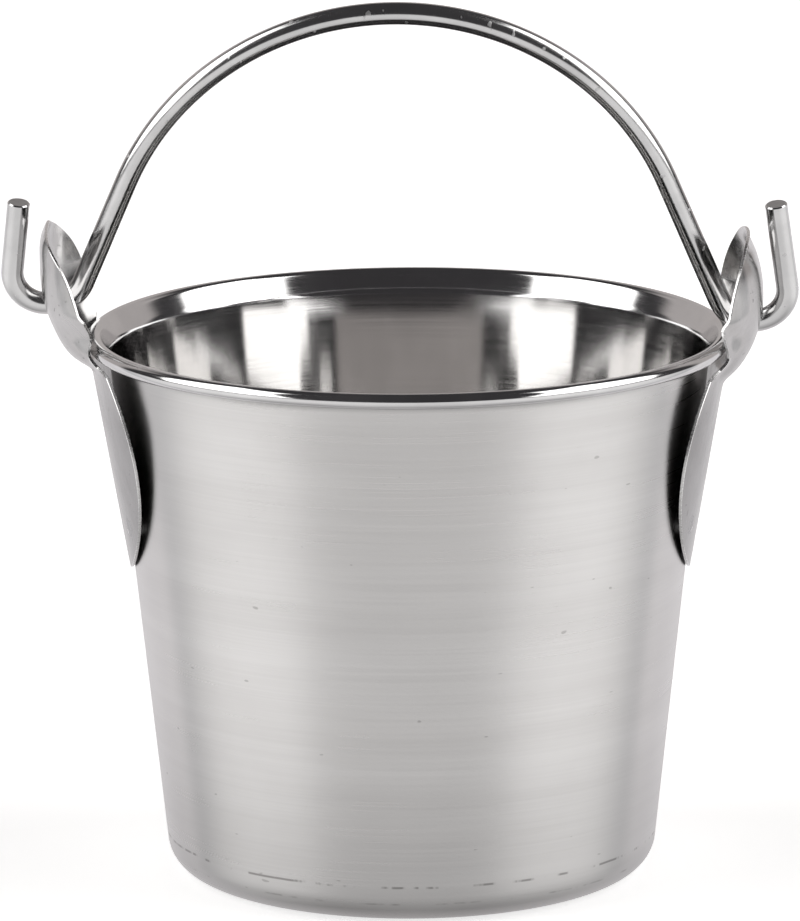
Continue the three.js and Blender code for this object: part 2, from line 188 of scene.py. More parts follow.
# ------------------------------------------------------------------ studio
# The camera and the floor are placed in metres.
CAMERA_PLACE = (0.0, -1.9438, 0.53175)
CAMERA_AIM = (-0.0012, 0.9762, -0.2167)
CAMERA_ROLL = -0.0053       # radians
CAMERA_LENS = 320.97
CAMERA_SENSOR = 36
CAMERA_RANGE = (0.05, 50)   # nearest and furthest that it sees

FLOOR_HALF = 12.0
FLOOR_DROP = 0.0002         # the floor lies this far under the pail
FLOOR_WHITE = 0.93
FLOOR_GLOW = 0.55

# Light by direction: degrees round from the front, the same on both sides, and degrees up from
# level. A band is its middle, half width and soft edge; a ramp is its start and end.
ROOM = (0.045, 0.043, 0.045)
WARM_WHITE = (1.0, 0.985, 0.97)
PALE_WHITE = (1.0, 0.985, 0.975)
SOFTBOX_AROUND, SOFTBOX_LEVEL, SOFTBOX_LIGHT = (72, 25, 4), (32, 26, 3), 2.5
SOFTBOX_TILT, SOFTBOX_TILT_LEVEL = 0.45, 14  # degrees round for each degree above this level
BACKDROP_AROUND, BACKDROP_LEVEL, BACKDROP_LIGHT = (118, 126), (30, 44), 0.44
BACKDROP_TINT = (1.0, 0.93, 0.90)
SWEEP_HORIZON, SWEEP_DOWN, SWEEP_LEAST, SWEEP_LIGHT = (-4, 1), (-80, -26), 0.56, 0.79
SIDE_AROUND, SIDE_DOWN, SIDE_LIGHT = (72, 8, 46), (-60, -28), (-0.14, 0.16)
BEHIND_AROUND, BEHIND_LIGHT = (98, 138), -0.44
BEHIND_TINT = (1.05, 1.0, 0.93)


# ------------------------------------------------------------------ node helpers
class Nodes:
    """A short way to write a node tree: every call adds its nodes and returns their output."""

    def __init__(self, tree):
        self.tree = tree
        self.tree.nodes.clear()

    def add(self, kind, **settings):
        node = self.tree.nodes.new(kind)
        for key, value in settings.items():
            setattr(node, key, value)
        return node

    def link(self, value, socket):
        if isinstance(value, bpy.types.NodeSocket):
            self.tree.links.new(value, socket)
        else:
            socket.default_value = value

    def math(self, operation, a, b=0.0):
        node = self.add("ShaderNodeMath", operation=operation)
        self.link(a, node.inputs[0])
        self.link(b, node.inputs[1])
        return node.outputs[0]

    def times(self, a, b):
        return self.math("MULTIPLY", a, b)

    def plus(self, a, b):
        return self.math("ADD", a, b)

    def ramp(self, value, low, high, out_low=0.0, out_high=1.0):
        """out_low up to low, out_high from high, and a smooth step between."""
        node = self.add("ShaderNodeMapRange", clamp=True, interpolation_type="SMOOTHSTEP")
        for socket, item in zip(node.inputs, (value, low, high, out_low, out_high)):
            self.link(item, socket)
        return node.outputs[0]

    def band(self, value, centre, half, soft):
        """1 where value is within half of centre, falling to 0 over soft."""
        away = self.math("ABSOLUTE", self.math("SUBTRACT", value, centre))
        return self.ramp(away, half, half + soft, 1.0, 0.0)

    def vector(self, x, y, z):
        node = self.add("ShaderNodeCombineXYZ")
        for socket, item in zip(node.inputs, (x, y, z)):
            self.link(item, socket)
        return node.outputs[0]

    def scaled(self, x, y, z, scales):
        """A vector with each part scaled by its own cycles per metre, so that noise on it makes lines."""
        return self.vector(*(self.times(part, scale) for part, scale in zip((x, y, z), scales)))

    def split(self, vector):
        node = self.add("ShaderNodeSeparateXYZ")
        self.link(vector, node.inputs[0])
        return node.outputs

    def noise(self, vector, scale=1.0, detail=2.0, roughness=0.5):
        node = self.add("ShaderNodeTexNoise")
        self.link(vector, node.inputs["Vector"])
        node.inputs["Scale"].default_value = scale
        node.inputs["Detail"].default_value = detail
        node.inputs["Roughness"].default_value = roughness
        return node.outputs["Fac"]

    def add_light(self, total, amount, tint):
        scaled = self.add("ShaderNodeVectorMath", operation="SCALE")
        scaled.inputs[0].default_value = tint
        self.link(amount, scaled.inputs["Scale"])
        summed = self.add("ShaderNodeVectorMath", operation="ADD")
        self.link(total, summed.inputs[0])
        self.link(scaled.outputs[0], summed.inputs[1])
        return summed.outputs[0]

    def mix(self, factor, a, b):
        """Color a where factor is 0 and color b where it is 1."""
        node = self.add("ShaderNodeMix", data_type="RGBA")
        self.link(factor, node.inputs[0])
        self.link(a, node.inputs[6])
        self.link(b, node.inputs[7])
        return node.outputs[2]

    def mottle(self, pattern, colors, low=0.35, high=0.65):
        return self.mix(self.ramp(pattern, low, high), *colors)

    def painted_shade_by_height(self, z, start, end, amount):
        """Painted shade by height: most at the height start and none above the height end."""
        return self.ramp(z, start * MM, end * MM, amount, 0.0)


def new_material(name, color):
    material = bpy.data.materials.new(name)
    material.use_nodes = True
    material.diffuse_color = (*color, 1)
    return material, Nodes(material.node_tree)


def object_axes(n):
    """The point on the object, and its x, y and z."""
    point = n.add("ShaderNodeTexCoord").outputs["Object"]
    return point, *n.split(point)


def finish_steel(n, color, roughness, heights, anisotropy=0.0, tangent=None):
    """The Principled shader that every steel ends in. heights is a list of (height, strength, mm)."""
    shader = n.add("ShaderNodeBsdfPrincipled")
    shader.inputs["Metallic"].default_value = 1.0
    shader.inputs["Anisotropic"].default_value = anisotropy
    shader.inputs["Anisotropic Rotation"].default_value = BRUSH_TURN
    n.link(color, shader.inputs["Base Color"])
    n.link(roughness, shader.inputs["Roughness"])
    if tangent is not None:
        n.link(tangent, shader.inputs["Tangent"])
    normal = None
    for height, strength, depth in heights:
        bump = n.add("ShaderNodeBump")
        bump.inputs["Strength"].default_value = strength
        bump.inputs["Distance"].default_value = depth * MM
        n.link(height, bump.inputs["Height"])
        if normal is not None:
            n.link(normal, bump.inputs["Normal"])
        normal = bump.outputs[0]
    n.link(normal, shader.inputs["Normal"])
    output = n.add("ShaderNodeOutputMaterial")
    n.link(shader.outputs[0], output.inputs["Surface"])


# ------------------------------------------------------------------ materials
def radial_tangent(n):
    """The direction round the pail, which the brushing follows."""
    return n.add("ShaderNodeTangent", direction_type="RADIAL", axis="Z").outputs[0]


def up_the_wall(n, x, y, z):
    """A coordinate that runs up the wall and out along the base, for marks that ring the pail."""
    radius = n.math("SQRT", n.plus(n.times(x, x), n.times(y, y)))
    return n.plus(z, radius)


def shell_outside():
    """Satin wall: brushed round the pail, with soft streaks, a few specks, a scuffed heel and painted shade
    low on the wall and at the heel.
    """
    material, n = new_material("satin_wall", (0.70, 0.695, 0.69))
    point, x, y, z = object_axes(n)
    along = up_the_wall(n, x, y, z)
    brush = n.noise(n.scaled(x, y, along, (10, 10, 1900)), 1.0, 3.0, 0.6)
    streaks = n.noise(n.scaled(x, y, along, (7, 7, 120)), 1.0, 3.0, 0.55)
    smudge = n.noise(point, 24, 4.0, 0.55)
    specks = n.ramp(n.noise(n.scaled(x, y, along, (260, 260, 700)), 1.0, 0.0), 0.86, 0.89)
    tone = n.plus(n.plus(n.times(brush, 0.25), n.times(streaks, 0.4)), n.times(smudge, 0.35))
    base = n.mottle(tone, SATIN, 0.36, 0.64)
    # Painted shade, darker towards the floor and darkest at the heel.
    painted_shade_amount = n.plus(n.painted_shade_by_height(z, *WALL_PAINTED_SHADE), n.painted_shade_by_height(z, *HEEL_PAINTED_SHADE))
    base = n.mix(painted_shade_amount, base, PAINTED_SHADE)
    base = n.mix(n.math("MAXIMUM", n.times(specks, 0.35), heel_scuffs(n, x, y, z)), base, GRIME)
    rough = n.plus(n.ramp(brush, 0.3, 0.7, 0.27, 0.33), n.ramp(smudge, 0.4, 0.7, 0.0, 0.04))
    finish_steel(n, base, rough, [(streaks, 0.10, 0.02), (brush, 0.15, 0.003)], 0.8, radial_tangent(n))
    return material


def heel_scuffs(n, x, y, z):
    """Broken dark dashes where the pail's heel has rubbed, on rings round the bend."""
    around = n.math("ARCTAN2", y, x)
    stray = n.math("SUBTRACT", n.noise(n.vector(x, y, 0.0), 60, 2.0), 0.5)
    level = n.plus(z, n.times(stray, SCUFF_WANDER * MM))
    total = 0.0
    for height, half, dashes, least, strength in SCUFF_RINGS:
        ring = n.band(level, height * MM, half * MM, SCUFF_SOFT * MM)
        dash = n.noise(n.vector(n.times(around, dashes), height, 0.0), 1.0, 3.0, 0.65)
        mark = n.times(ring, n.ramp(dash, least, least + SCUFF_FADE))
        total = n.math("MAXIMUM", total, n.times(mark, strength))
    return total


def shell_inside():
    """Brighter and smoother than the outside, and brushed the same way."""
    material, n = new_material("bright_inside", (0.70, 0.695, 0.69))
    point, x, y, z = object_axes(n)
    along = up_the_wall(n, x, y, z)
    brush = n.noise(n.scaled(x, y, along, (20, 20, 2000)), 1.0, 3.0, 0.6)
    streaks = n.noise(n.scaled(x, y, along, (25, 25, 500)), 1.0, 3.0, 0.6)
    smudge = n.noise(point, 30, 4.0, 0.6)
    rough = n.plus(n.ramp(brush, 0.3, 0.7, 0.05, 0.09), n.ramp(smudge, 0.45, 0.7, 0.0, 0.04))
    finish_steel(n, n.mottle(smudge, BRIGHT), rough, [(streaks, 0.10, 0.006)], 0.7, radial_tangent(n))
    return material


def rim_steel():
    """Polished by the rolling, with fine lines round the bead."""
    material, n = new_material("rolled_rim", (0.72, 0.72, 0.725))
    point, x, y, z = object_axes(n)
    brush = n.noise(n.scaled(x, y, up_the_wall(n, x, y, z), (20, 20, 3000)), 1.0, 2.0, 0.6)
    smudge = n.noise(point, 60, 3.0, 0.5)
    rough = n.plus(n.ramp(brush, 0.3, 0.7, 0.07, 0.12), n.ramp(smudge, 0.45, 0.7, 0.0, 0.06))
    finish_steel(n, n.mottle(smudge, ROLLED), rough, [(smudge, 0.2, 0.02), (brush, 0.2, 0.003)])
    return material


def ear_steel():
    """Pressed sheet: faint drawing lines, small pits and dents left by the press, and painted shade over
    the tongue.
    """
    material, n = new_material("pressed_ear", (0.70, 0.70, 0.705))
    point, x, y, z = object_axes(n)
    lines = n.noise(n.scaled(x, y, z, (30, 1100, 40)), 1.0, 3.0, 0.6)
    dents = n.noise(point, 150, 2.0, 0.5)
    smudge = n.noise(point, 55, 4.0, 0.6)
    pits = n.ramp(n.noise(point, 700, 1.0), 0.72, 0.75)
    # Painted shade over the tongue, fading out above it.
    base = n.mix(n.painted_shade_by_height(z, *TONGUE_PAINTED_SHADE), n.mottle(smudge, PRESSED), PAINTED_SHADE)
    base = n.mix(n.times(pits, 0.6), base, PIT)
    rough = n.plus(n.ramp(lines, 0.3, 0.7, 0.12, 0.18), n.ramp(smudge, 0.42, 0.7, 0.0, 0.12))
    finish_steel(n, base, rough, [(dents, 0.55, 0.16), (lines, 0.2, 0.005)])
    return material


def weld_steel():
    """Spot welds: dull and grainy."""
    material, n = new_material("weld_mark", (0.6, 0.6, 0.6))
    point = object_axes(n)[0]
    grain = n.noise(point, 1600, 3.0, 0.6)
    finish_steel(n, n.mottle(grain, WELDED), n.ramp(grain, 0.3, 0.7, 0.24, 0.36), [(grain, 0.4, 0.02)])
    return material


def wire_steel():
    """Drawn wire: fine lines along its length, from the piece's own lengthwise coordinate."""
    material, n = new_material("drawn_wire", (0.70, 0.70, 0.705))
    point = object_axes(n)[0]
    length, girth, _ = n.split(n.add("ShaderNodeUVMap", uv_map="wire").outputs[0])
    lines = n.noise(n.vector(n.times(length, 35), n.times(girth, 5200), 0.0), 1.0, 3.0, 0.6)
    smudge = n.noise(point, 70, 4.0, 0.6)
    nicks = n.ramp(n.noise(point, 420, 1.0), 0.715, 0.74)
    rough = n.plus(n.ramp(lines, 0.3, 0.7, 0.13, 0.2), n.times(nicks, 0.25))
    finish_steel(n, n.mottle(smudge, DRAWN), rough, [(lines, 0.3, 0.006), (nicks, 0.35, 0.03)])
    return material


def sawn_steel():
    """The wire's cut ends, with straight saw marks."""
    material, n = new_material("sawn_end", (0.68, 0.68, 0.68))
    x, y = object_axes(n)[1:3]
    marks = n.noise(n.vector(n.times(x, 300), n.times(y, 6000), 0.0), 1.0, 2.0)
    finish_steel(n, n.mottle(marks, SAWN), n.ramp(marks, 0.3, 0.7, 0.28, 0.42), [(marks, 0.5, 0.03)])
    return material


def edge_steel():
    """Sheared sheet edges: bright metal with the shear's fine grain."""
    material, n = new_material("sheared_edge", (0.78, 0.78, 0.78))
    point = object_axes(n)[0]
    marks = n.noise(point, 1800, 2.0)
    finish_steel(n, n.mottle(marks, SHEARED), n.ramp(marks, 0.3, 0.7, 0.2, 0.32), [(marks, 0.3, 0.02)])
    return material


# ------------------------------------------------------------------ mesh helpers
def make_piece(name, points, faces, materials, slots, body, replaces, sharp):
    """A smooth-shaded piece from millimetre points, with edges over sharp degrees left hard.

    slots gives the index in materials for each face.
    """
    mesh = bpy.data.meshes.new(name)
    mesh.from_pydata([tuple(p * MM for p in point) for point in points], [], faces)
    for material in materials:
        mesh.materials.append(material)
    mesh.polygons.foreach_set("material_index", slots)
    mesh.polygons.foreach_set("use_smooth", [True] * len(mesh.polygons))
    mesh.update()
    mesh.set_sharp_from_angle(angle=math.radians(sharp))
    mesh.validate()
    piece = bpy.data.objects.new(name, mesh)
    bpy.context.scene.collection.objects.link(piece)
    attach(piece, body)
    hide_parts(replaces)
    return piece


def bridge(faces, rings):
    """Adds faces between each ring of points and the next. A ring of one repeated point is a pole."""
    for upper, lower in zip(rings, rings[1:]):
        for k in range(len(upper)):
            j = (k + 1) % len(upper)
            faces.append(tuple(dict.fromkeys((upper[k], lower[k], lower[j], upper[j]))))


def arc(x, y, radius, start, end, steps):
    angles = np.radians(np.linspace(start, end, steps + 1))
    return [(x + radius * math.cos(a), y + radius * math.sin(a)) for a in angles]


def quadratic(start, control, end, steps):
    a, b, c = (np.array(p, float) for p in (start, control, end))
    return [tuple((1 - t) ** 2 * a + 2 * t * (1 - t) * b + t * t * c) for t in np.linspace(0, 1, steps + 1)]


def straight(start, end, steps):
    """The points between start and end, without those two."""
    return [tuple(np.array(start) + (np.array(end) - np.array(start)) * k / steps) for k in range(1, steps)]


def rounded(before, corner, after, reach, steps):
    """A corner of the section eased with a curve that starts and ends this far from it."""
    before, corner, after = (np.array(p, float) for p in (before, corner, after))
    start = corner + (before - corner) * reach / np.hypot(*(before - corner))
    end = corner + (after - corner) * reach / np.hypot(*(after - corner))
    return quadratic(start, corner, end, steps)


def smoothstep(value, low, high):
    t = np.clip((value - low) / (high - low), 0, 1)
    return t * t * (3 - 2 * t)


# ------------------------------------------------------------------ shell
WALL_SLOPE = (MOUTH_RADIUS - FOOT_RADIUS) / HEIGHT
WALL_TAPER = math.degrees(math.atan(WALL_SLOPE))
OUTSIDE, INSIDE, RIM = 0, 1, 2


def wall_radius(z):
    return FOOT_RADIUS + WALL_SLOPE * z


def heel(depth):
    """The bend from the base into the wall, this deep under the shell's outer face."""
    step = HEEL_RADIUS - SOLE_RADIUS
    angle = math.radians(HEEL_ANGLE)
    centre_z = SOLE_RADIUS - step * math.sin(angle)
    centre_r = wall_radius(centre_z) - HEEL_RADIUS / math.cos(math.radians(WALL_TAPER))
    sole_r = centre_r + step * math.cos(angle)
    sole = arc(sole_r, SOLE_RADIUS, SOLE_RADIUS - depth, -90, HEEL_ANGLE, SOLE_STEPS)
    bend = arc(centre_r, centre_z, HEEL_RADIUS - depth, HEEL_ANGLE, -WALL_TAPER, HEEL_STEPS)
    return sole + bend[1:]


def rim():
    """Ridge inside the mouth, the corner outside it, and the curl's two faces."""
    centre = np.array([RIM_RADIUS - BEAD_RADIUS, HEIGHT - BEAD_RADIUS])
    ridge_z = HEIGHT - LIP_HEIGHT
    ridge = np.array([wall_radius(ridge_z) - SHELL_SHEET / math.cos(math.radians(WALL_TAPER)), ridge_z])
    run = centre - ridge
    lip = math.atan2(run[1], run[0]) + math.asin(BEAD_RADIUS / np.hypot(*run))
    start = math.degrees(lip) + 90
    inside = arc(*centre, BEAD_RADIUS, start, BEAD_END_ANGLE, BEAD_STEPS)
    outside = arc(*centre, BEAD_RADIUS - SHELL_SHEET, start, BEAD_END_ANGLE, BEAD_STEPS)
    first = outside[0]
    travel = (wall_radius(first[1]) - first[0]) / (math.cos(lip) - WALL_SLOPE * math.sin(lip))
    corner = (first[0] + travel * math.cos(lip), first[1] + travel * math.sin(lip))
    return tuple(ridge), corner, inside, outside


def flare(z):
    """How far the wall's inside stands in from a straight line to the ridge, as it opens at the mouth."""
    down = HEIGHT - LIP_HEIGHT - z
    return FLARE_RISE * min(down, FLARE_DEPTH) * min(1.0, z / FLARE_FADE)


def shell_profile():
    """The half section as (radius, height) points with each point's finish, outside first."""
    ridge, corner, inside, outside = rim()
    outer, inner = heel(0), heel(SHELL_SHEET)
    below = (ridge[0] - WALL_SLOPE, ridge[1] - 1)
    bend = rounded(inside[0], ridge, below, RIDGE_REACH, RIDGE_STEPS)
    wall = [(r - flare(z), z) for r, z in straight(bend[-1], inner[-1], INSIDE_STEPS)]
    shoulder = rounded(outer[-1], corner, outside[0], CORNER_REACH, CORNER_STEPS)
    parts = [
        (OUTSIDE, [(0.0, 0.0)] + straight((0, 0), outer[0], BASE_STEPS) + outer),
        (OUTSIDE, straight(outer[-1], shoulder[0], OUTSIDE_STEPS) + shoulder),
        (RIM, outside + inside[::-1]),
        (RIM, straight(inside[0], bend[0], LIP_STEPS) + bend[:-1]),
        (INSIDE, [bend[-1]] + wall),
        (INSIDE, inner[::-1] + straight(inner[0], (0, SHELL_SHEET), BASE_STEPS) + [(0.0, SHELL_SHEET)]),
    ]
    profile = [point for _, points in parts for point in points]
    finish = [kind for kind, points in parts for _ in points]
    return profile, finish


def build_shell(*finishes):
    profile, finish = shell_profile()
    angles = [2 * math.pi * k / SHELL_SEGMENTS for k in range(SHELL_SEGMENTS)]
    points, rings, faces, slots = [], [], [], []
    for radius, z in profile:
        if radius == 0:
            rings.append([len(points)] * SHELL_SEGMENTS)
            points.append((0.0, 0.0, z))
            continue
        rings.append(list(range(len(points), len(points) + SHELL_SEGMENTS)))
        points += [(radius * math.cos(a), radius * math.sin(a), z) for a in angles]
    bridge(faces, [ring[::-1] for ring in rings])
    for pair in zip(finish, finish[1:]):
        slots += [RIM if RIM in pair else pair[1]] * SHELL_SEGMENTS
    make_piece("pail_body", points, faces, finishes, slots, "pail", "pail_shell", sharp=50)


# ------------------------------------------------------------------ ears
def tongue_radius(ear, z):
    """The tongue's outer face, which leans in a straight line from its crease down to its tip."""
    tip_z = ear["tongue_centre"] - ear["tongue_radius"]
    tip_r = wall_radius(tip_z) + WALL_GAP + EAR_SHEET
    crease_r, crease_z = ear["crease"]
    return tip_r + (crease_r - tip_r) * (z - tip_z) / (crease_z - tip_z)


def wrap_radius(ear, z):
    """The part that is bent round the pail: the tongue, and the neck that clears the rim."""
    tongue = tongue_radius(ear, z)
    clear = np.maximum(tongue, RIM_RADIUS + RIM_GAP + EAR_SHEET)
    return tongue + (clear - tongue) * smoothstep(z, ear["shoulder"], ear["neck"])


def dish_profile(ear):
    """Catmull-Rom line up the dish's middle, as heights and distances from the pail's axis."""
    points = np.array([ear["dish"][0], *ear["dish"], ear["dish"][-1]], float)
    line = []
    for a, b, c, d in zip(points, points[1:], points[2:], points[3:]):
        for t in np.linspace(0, 1, DISH_STEPS, endpoint=False):
            line.append(0.5 * ((2 * b) + (c - a) * t + (2 * a - 5 * b + 4 * c - d) * t * t
                               + (3 * b - a - 3 * c + d) * t ** 3))
    line.append(points[-1])
    line = np.array(line)
    return line[:, 1], line[:, 0]


def ear_surface(ear, y, z):
    """Outer face of the ear's sheet at points across it and up it, on the +X side."""
    wrapped = np.sqrt(wrap_radius(ear, z) ** 2 - y * y)
    heights, reach = dish_profile(ear)
    root = heights[0]
    middle = np.where(z < root, reach[0] - DISH_ROOT_SLOPE * (root - z), np.interp(z, heights, reach))
    fade = smoothstep(z - ear["neck"], *NECK_FADE)
    depth = NECK_DEPTH + (DISH_DEPTH - NECK_DEPTH) * fade
    dished = middle - depth * np.abs(2 * y / DISH_WIDTH) ** DISH_POWER
    x = (wrapped + dished + np.hypot(wrapped - dished, CREASE_BLEND)) / 2
    return np.stack([x, y, z], -1)


def ear_normal(ear, y, z):
    across = ear_surface(ear, y + NORMAL_STEP, z) - ear_surface(ear, y - NORMAL_STEP, z)
    up = ear_surface(ear, y, z + NORMAL_STEP) - ear_surface(ear, y, z - NORMAL_STEP)
    normal = np.cross(across, up)
    return normal / np.linalg.norm(normal, axis=-1, keepdims=True)


def on_its_side(ear, points):
    """Points made on the +X side, turned half round the pail's axis for the left ear."""
    points = np.array(points)
    if ear["side"] < 0:
        points[:, :2] *= -1
    return points


def ear_outline(ear):
    """Anticlockwise from the top, as seen from outside the pail."""
    neck, dish = NECK_WIDTH / 2, DISH_WIDTH / 2
    centre, rise = ear["dish_centre"], ear["dish_rise"]
    shoulder = math.degrees(math.asin((ear["shoulder"] - ear["tongue_centre"]) / ear["tongue_radius"]))

    angles = np.radians(np.linspace(90, 180, DOME_STEPS))
    out = -np.abs(np.cos(angles)) ** (2 / DOME_POWER)
    up = np.abs(np.sin(angles)) ** (2 / DOME_POWER)
    left = [(dish * a, centre + rise * b) for a, b in zip(out, up)]
    leaving = (-neck - NECK_EASE[0], ear["neck"] + NECK_EASE[1])
    left += quadratic((-dish, centre), leaving, (-neck, ear["neck"]), NECK_STEPS)[1:]
    left += [(-neck - SHOULDER_EASE[0], ear["shoulder"] + SHOULDER_EASE[1])]
    ends = 180 - shoulder, 360 + shoulder
    tongue = arc(0, ear["tongue_centre"], ear["tongue_radius"], *ends, TONGUE_STEPS)
    right = [(-y, z) for y, z in left[::-1]]
    return spaced(left + tongue + right[:-1], EDGE_STEP)


def spaced(loop, step):
    """The closed loop with points added so that no side is longer than step."""
    dense = []
    for a, b in zip(loop, loop[1:] + loop[:1]):
        a, b = np.array(a, float), np.array(b, float)
        count = max(1, int(np.ceil(np.hypot(*(b - a)) / step)))
        dense += [tuple(a + (b - a) * k / count) for k in range(count)]
    return dense


def clockwise_circle(y, z, radius, count):
    return arc(y, z, radius, 0, -360, count)[:-1]


def inside_loop(loop, points):
    """Even-odd test of an array of points against a closed loop."""
    loop = np.array(loop)
    y, z = points[:, 0][:, None], points[:, 1][:, None]
    y0, z0 = loop[:, 0][None], loop[:, 1][None]
    y1, z1 = np.roll(loop[:, 0], -1)[None], np.roll(loop[:, 1], -1)[None]
    crosses = (z0 > z) != (z1 > z)
    at = y0 + (z - z0) * (y1 - y0) / np.where(z1 == z0, 1, z1 - z0)
    return (crosses & (y < at)).sum(1) % 2 == 1


def on_the_sheet(outline, holes, points):
    keep = inside_loop(outline, points)
    for hole in holes:
        keep &= ~inside_loop(hole, points)
    return keep


def sheet_grid(outline, holes, border):
    """Staggered rows of points over the sheet, clear of its border."""
    low, high = border.min(0), border.max(0)
    rows = np.arange(low[1], high[1], EAR_GRID * ROW_RATIO)
    grid = np.array([
        (y + (EAR_GRID / 2 if k % 2 else 0), z)
        for k, z in enumerate(rows) for y in np.arange(low[0], high[0], EAR_GRID)
    ])
    grid = grid[on_the_sheet(outline, holes, grid)]
    nearest = np.array([np.hypot(*(border - p).T).min() for p in grid])
    return grid[nearest > GRID_CLEARANCE * EAR_GRID]


def fill_sheet(outline, holes):
    """Flat points and anticlockwise triangles over the outline without its holes.

    The loops' points come first, and the last value lists each loop's share of them.
    """
    loops = [outline, *holes]
    border = np.array([p for loop in loops for p in loop])
    grid = sheet_grid(outline, holes, border)
    edges, shares = [], []
    for loop in loops:
        start = len(edges)
        share = range(start, start + len(loop))
        edges += [(k, start + (k + 1 - start) % len(loop)) for k in share]
        shares.append(list(share))
    made = delaunay_2d_cdt([Vector(p) for p in [*border, *grid]], edges, [], 0, 1e-7)
    points = np.array([tuple(p) for p in made[0]])
    triangles = np.array([face[:] for face in made[2]])
    corners = points[triangles]
    turn = np.cross(corners[:, 1] - corners[:, 0], corners[:, 2] - corners[:, 0])
    triangles = np.where(turn[:, None] > 0, triangles, triangles[:, ::-1])
    return points, triangles[on_the_sheet(outline, holes, corners.mean(1))], shares


def build_ear(ear, face_steel, cut_steel):
    pivot = clockwise_circle(0, ear["pivot_height"] + WIRE_DROP, HOLE_RADIUS, PIVOT_HOLE_SIDES)
    welds = [clockwise_circle(*p, WELD_RADIUS + WELD_SEAM, WELD_HOLE_SIDES) for p in WELD_PLACES.values()]
    flat, triangles, loops = fill_sheet(ear_outline(ear), [pivot, *welds])
    y, z = flat[:, 0], flat[:, 1]
    outer = ear_surface(ear, y, z)
    normal = ear_normal(ear, y, z)
    points = [*outer, *(outer - EAR_SHEET * normal)]
    count = len(outer)
    faces = [tuple(t) for t in triangles] + [tuple(t[::-1] + count) for t in triangles]
    slots = [0] * len(faces)
    for loop in loops:
        add_cut_edge(points, faces, loop, count, normal)
    slots += [1] * (len(faces) - len(slots))
    make_piece(
        f"{ear['name']}_ear_sheet", on_its_side(ear, points), faces, [face_steel, cut_steel], slots,
        "pail", f"{ear['name']}_ear", sharp=35,
    )


def add_cut_edge(points, faces, ids, count, normal):
    """Closes the sheet along one loop with a cut edge that is eased at both corners."""
    outer = np.array([points[i] for i in ids])
    inner = np.array([points[i + count] for i in ids])
    tangent = np.roll(outer, -1, 0) - np.roll(outer, 1, 0)
    away = np.cross(tangent, normal[ids])
    away /= np.linalg.norm(away, axis=1, keepdims=True)
    ease = normal[ids] * EDGE_ROUND
    rings = [ids]
    for ring in (outer + away * EDGE_ROUND - ease, inner + away * EDGE_ROUND + ease):
        rings.append(list(range(len(points), len(points) + len(ids))))
        points.extend(ring)
    rings.append([i + count for i in ids])
    bridge(faces, rings)


# ------------------------------------------------------------------ weld nuggets
def build_weld(ear, name, place, steel):
    """A round nugget from the tongue's outer face back to the wall, with a shallow dimple in its end."""
    turns = np.linspace(0, 2 * math.pi, WELD_SIDES, endpoint=False)
    points, rings, faces = [], [], []
    for r, proud in (*WELD_SECTION, (WELD_RADIUS, None), (0.0, None)):
        around = turns if r else turns[:1]
        y, z = place[0] + r * np.cos(around), place[1] + r * np.sin(around)
        ring = ear_surface(ear, y, z)
        if proud is None:
            ring[:, :2] *= ((wall_radius(z) + WELD_FOOT) / np.hypot(ring[:, 0], ring[:, 1]))[:, None]
        else:
            ring = ring + proud * ear_normal(ear, y, z)
        ids = list(range(len(points), len(points) + len(ring)))
        rings.append(ids if r else ids * WELD_SIDES)
        points.extend(ring)
    bridge(faces, rings)
    node = f"{ear['name']}_ear_{name}"
    make_piece(
        f"{node}_mark", on_its_side(ear, points), faces, [steel], [0] * len(faces),
        "pail", node, sharp=60,
    )


# ------------------------------------------------------------------ bail
LEG_SLOPE = 90 - ARCH_HALF_ANGLE


def leg_length(ear):
    arch_end = ARCH_TOP - ARCH_RADIUS * (1 - math.cos(math.radians(ARCH_HALF_ANGLE)))
    drop = ELBOW_RADIUS * (1 - math.sin(math.radians(LEG_SLOPE)))
    return (arch_end - drop - ear["pivot_height"]) / math.cos(math.radians(LEG_SLOPE))


def pivot_length(ear):
    arch_end = ARCH_RADIUS * math.sin(math.radians(ARCH_HALF_ANGLE))
    leg_end = arch_end + leg_length(ear) * math.sin(math.radians(LEG_SLOPE))
    return ear["hook_reach"] - HOOK_RADIUS - leg_end - ELBOW_RADIUS * math.cos(math.radians(LEG_SLOPE))


def hook_length(ear):
    lean = math.radians(ear["hook_lean"])
    return (ear["hook_height"] - HOOK_RADIUS * (1 + math.sin(lean))) / math.cos(lean)


def toward(heading):
    """One millimetre in the bail's plane at this many degrees."""
    angle = math.radians(heading)
    return np.array([math.cos(angle), math.sin(angle)])


def wire_moves():
    """The bending job from hook tip to hook tip: a run is a length, a bend is a radius and an angle."""
    return [
        ("run", hook_length(LEFT), 0), ("bend", HOOK_RADIUS, 90 + LEFT["hook_lean"]),
        ("run", pivot_length(LEFT), 0), ("bend", ELBOW_RADIUS, ARCH_HALF_ANGLE),
        ("run", leg_length(LEFT), 0), ("bend", ARCH_RADIUS, -2 * ARCH_HALF_ANGLE),
        ("run", leg_length(RIGHT), 0), ("bend", ELBOW_RADIUS, ARCH_HALF_ANGLE),
        ("run", pivot_length(RIGHT), 0), ("bend", HOOK_RADIUS, 90 + RIGHT["hook_lean"]),
        ("run", hook_length(RIGHT), 0),
    ]


